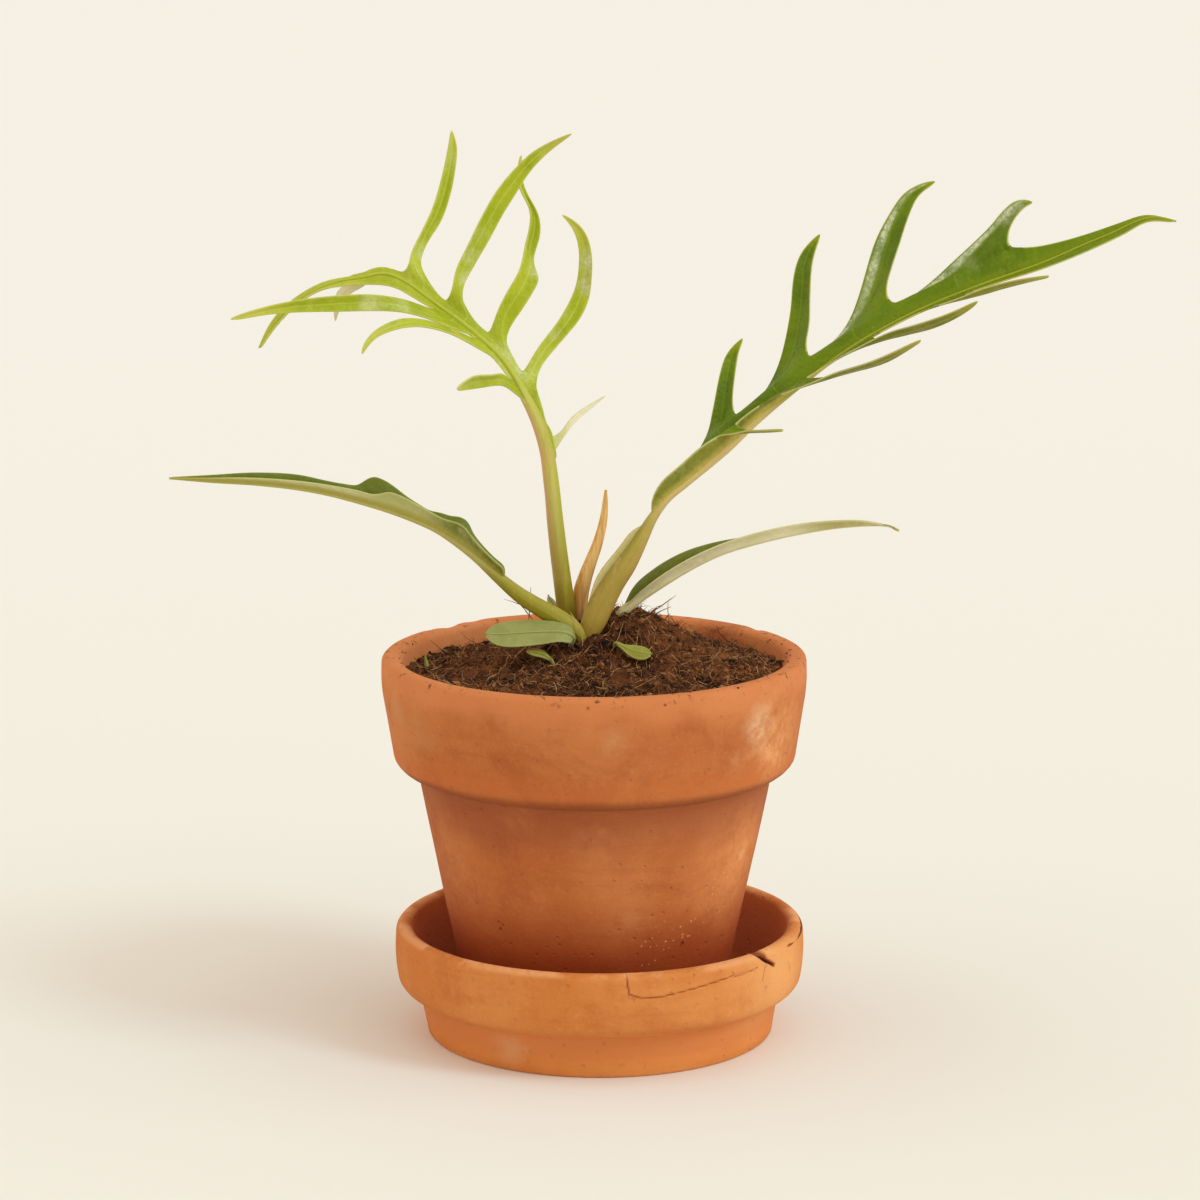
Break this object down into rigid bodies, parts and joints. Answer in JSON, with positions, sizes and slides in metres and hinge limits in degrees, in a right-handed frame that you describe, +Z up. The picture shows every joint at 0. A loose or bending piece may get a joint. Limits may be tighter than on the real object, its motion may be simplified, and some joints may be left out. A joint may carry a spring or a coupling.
{
  "type": "potted philodendron",
  "caption": "Young aroid house plant with deeply lobed leaves, rooted in soil in a tapered clay pot that stands on a clay saucer.",
  "frame": {"origin": "centre of the saucer's flat foot, on the surface it stands on", "axes": "+Z up, +X to the viewer's right along the spread of the leaves, -Y towards the viewer who sees the front"},
  "size_m": [0.2564, 0.1102, 0.2347],
  "materials": {
    "clay_saucer": "unglazed fired clay, pale orange, matt, with crazing and small chips",
    "clay_pot": "unglazed fired clay, orange brown, matt, with lime bloom and damp marks",
    "soil": "dark brown fibrous potting soil, matt",
    "leaf_dark": "waxy dark green leaf, semi-gloss",
    "leaf_young": "soft yellow green new leaf, satin",
    "leaf_olive": "olive green strap leaf with a paler keel, satin",
    "leaf_dry": "dry papery leaf sheath, matt",
    "leaf_grey": "grey green leaf, satin",
    "leaf_fresh": "fresh green leaf, satin"
  },
  "bodies": {
    "root": {"saucer": "clay_saucer", "pot": "clay_pot", "soil": "soil", "leaf_mature": "leaf_dark", "leaf_young": "leaf_young", "strap_leaf_left": "leaf_olive", "strap_leaf_right": "leaf_olive", "dry_sheath": "leaf_dry", "small_leaf_left": "leaf_grey", "small_leaf_under": "leaf_fresh", "small_leaf_right": "leaf_fresh", "small_leaf_back": "leaf_grey", "sprout": "leaf_fresh"}
  },
  "joints": []
}
